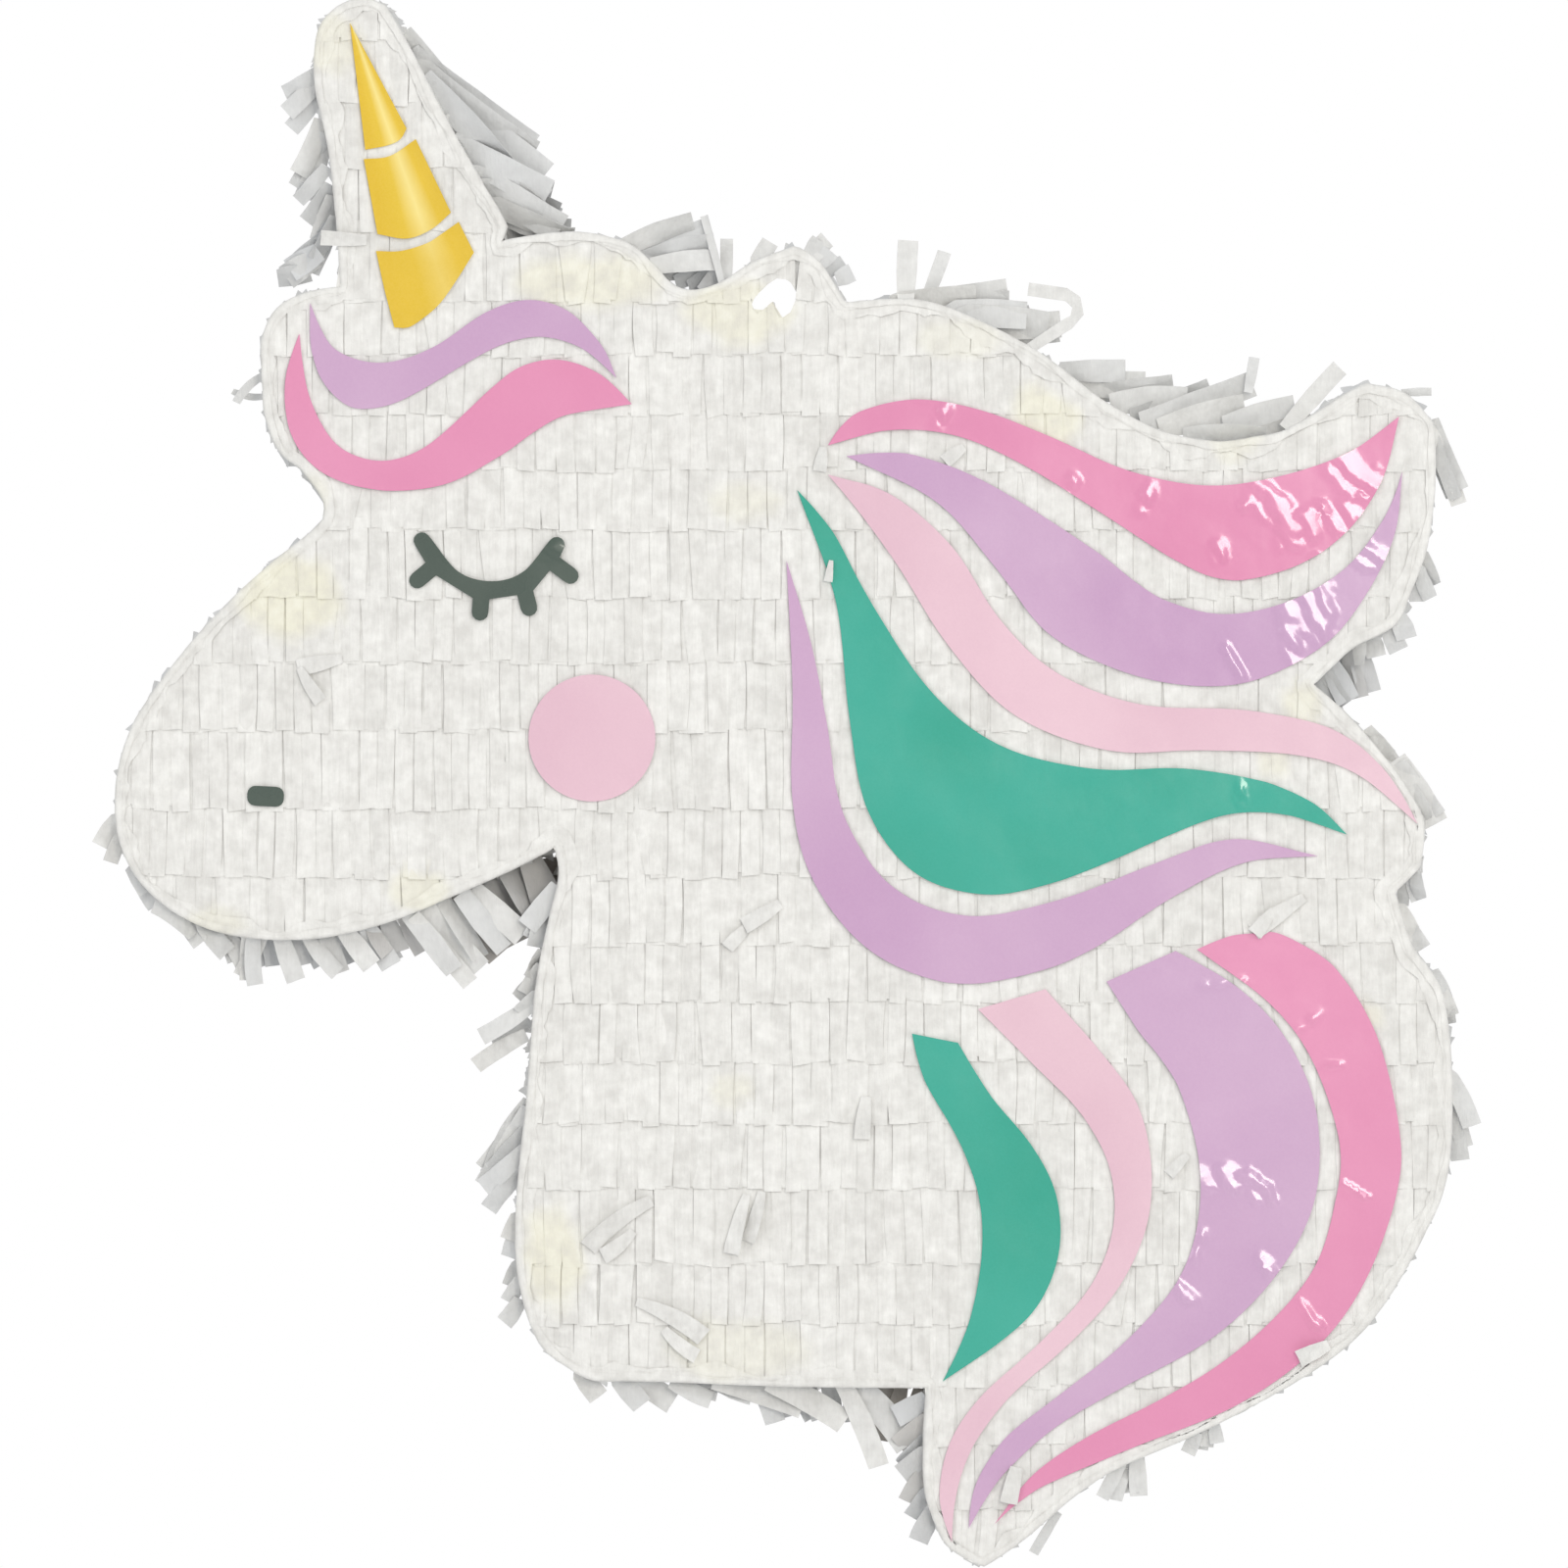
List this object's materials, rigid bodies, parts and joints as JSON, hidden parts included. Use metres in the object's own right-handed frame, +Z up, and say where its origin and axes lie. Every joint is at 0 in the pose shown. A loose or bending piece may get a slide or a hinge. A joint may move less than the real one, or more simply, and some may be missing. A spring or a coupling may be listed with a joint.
{
  "type": "pinata",
  "caption": "Flat unicorn-head pinata: two card faces and a card wall under cut white tissue rows, glossy die-cut stickers, a hanging hole and a fill flap in the back.",
  "frame": {"origin": "centre of the hanging hole, half way between the front and back faces", "axes": "+X to the right as seen from the front, +Y towards the back, +Z up"},
  "size_m": [0.4372, 0.0939, 0.5132],
  "materials": {
    "cardboard": "matt",
    "tissue_white": "matt",
    "sticker_gold": "glossy print",
    "sticker_pink": "glossy print",
    "sticker_lilac": "glossy print",
    "sticker_pale_pink": "glossy print",
    "sticker_teal": "glossy print",
    "sticker_charcoal": "glossy print"
  },
  "bodies": {
    "shell": {"front_panel": "cardboard", "back_panel": "cardboard", "wall_horn": "cardboard", "wall_crown": "cardboard", "wall_mane": "cardboard", "wall_neck": "cardboard", "wall_muzzle": "cardboard", "wall_fringe_horn": "tissue_white", "wall_fringe_crown": "tissue_white", "wall_fringe_mane": "tissue_white", "wall_fringe_neck": "tissue_white", "wall_fringe_muzzle": "tissue_white", "front_fringe_01": "tissue_white", "front_fringe_02": "tissue_white", "front_fringe_03": "tissue_white", "front_fringe_04": "tissue_white", "front_fringe_05": "tissue_white", "front_fringe_06": "tissue_white", "front_fringe_07": "tissue_white", "front_fringe_08": "tissue_white", "front_fringe_09": "tissue_white", "front_fringe_10": "tissue_white", "front_fringe_11": "tissue_white", "front_fringe_12": "tissue_white", "front_fringe_13": "tissue_white", "front_fringe_14": "tissue_white", "front_fringe_15": "tissue_white", "front_fringe_16": "tissue_white", "front_fringe_17": "tissue_white", "front_fringe_18": "tissue_white", "front_fringe_19": "tissue_white", "front_fringe_20": "tissue_white", "front_fringe_21": "tissue_white", "front_fringe_22": "tissue_white", "front_fringe_23": "tissue_white", "front_fringe_24": "tissue_white", "front_fringe_25": "tissue_white", "back_fringe_upper": "tissue_white", "back_fringe_middle": "tissue_white", "back_fringe_lower": "tissue_white", "horn_tip": "sticker_gold", "horn_middle": "sticker_gold", "horn_base": "sticker_gold", "forelock_lilac": "sticker_lilac", "forelock_pink": "sticker_pink", "mane_pink_top": "sticker_pink", "mane_lilac_top": "sticker_lilac", "mane_pale_top": "sticker_pale_pink", "mane_teal_top": "sticker_teal", "mane_lilac_long": "sticker_lilac", "mane_teal_low": "sticker_teal", "mane_pale_low": "sticker_pale_pink", "mane_lilac_low": "sticker_lilac", "mane_pink_low": "sticker_pink", "eye": "sticker_charcoal", "nostril": "sticker_charcoal", "cheek": "sticker_pale_pink"},
    "flap": {"fill_flap": "cardboard", "flap_fringe": "tissue_white"}
  },
  "joints": [
    {"name": "fill_flap_hinge", "type": "hinge", "parent": "shell", "child": "flap", "pos_m": [0.005, 0.045, -0.2125], "axis": [1, 0, 0], "range_deg": [0, 110]}
  ]
}
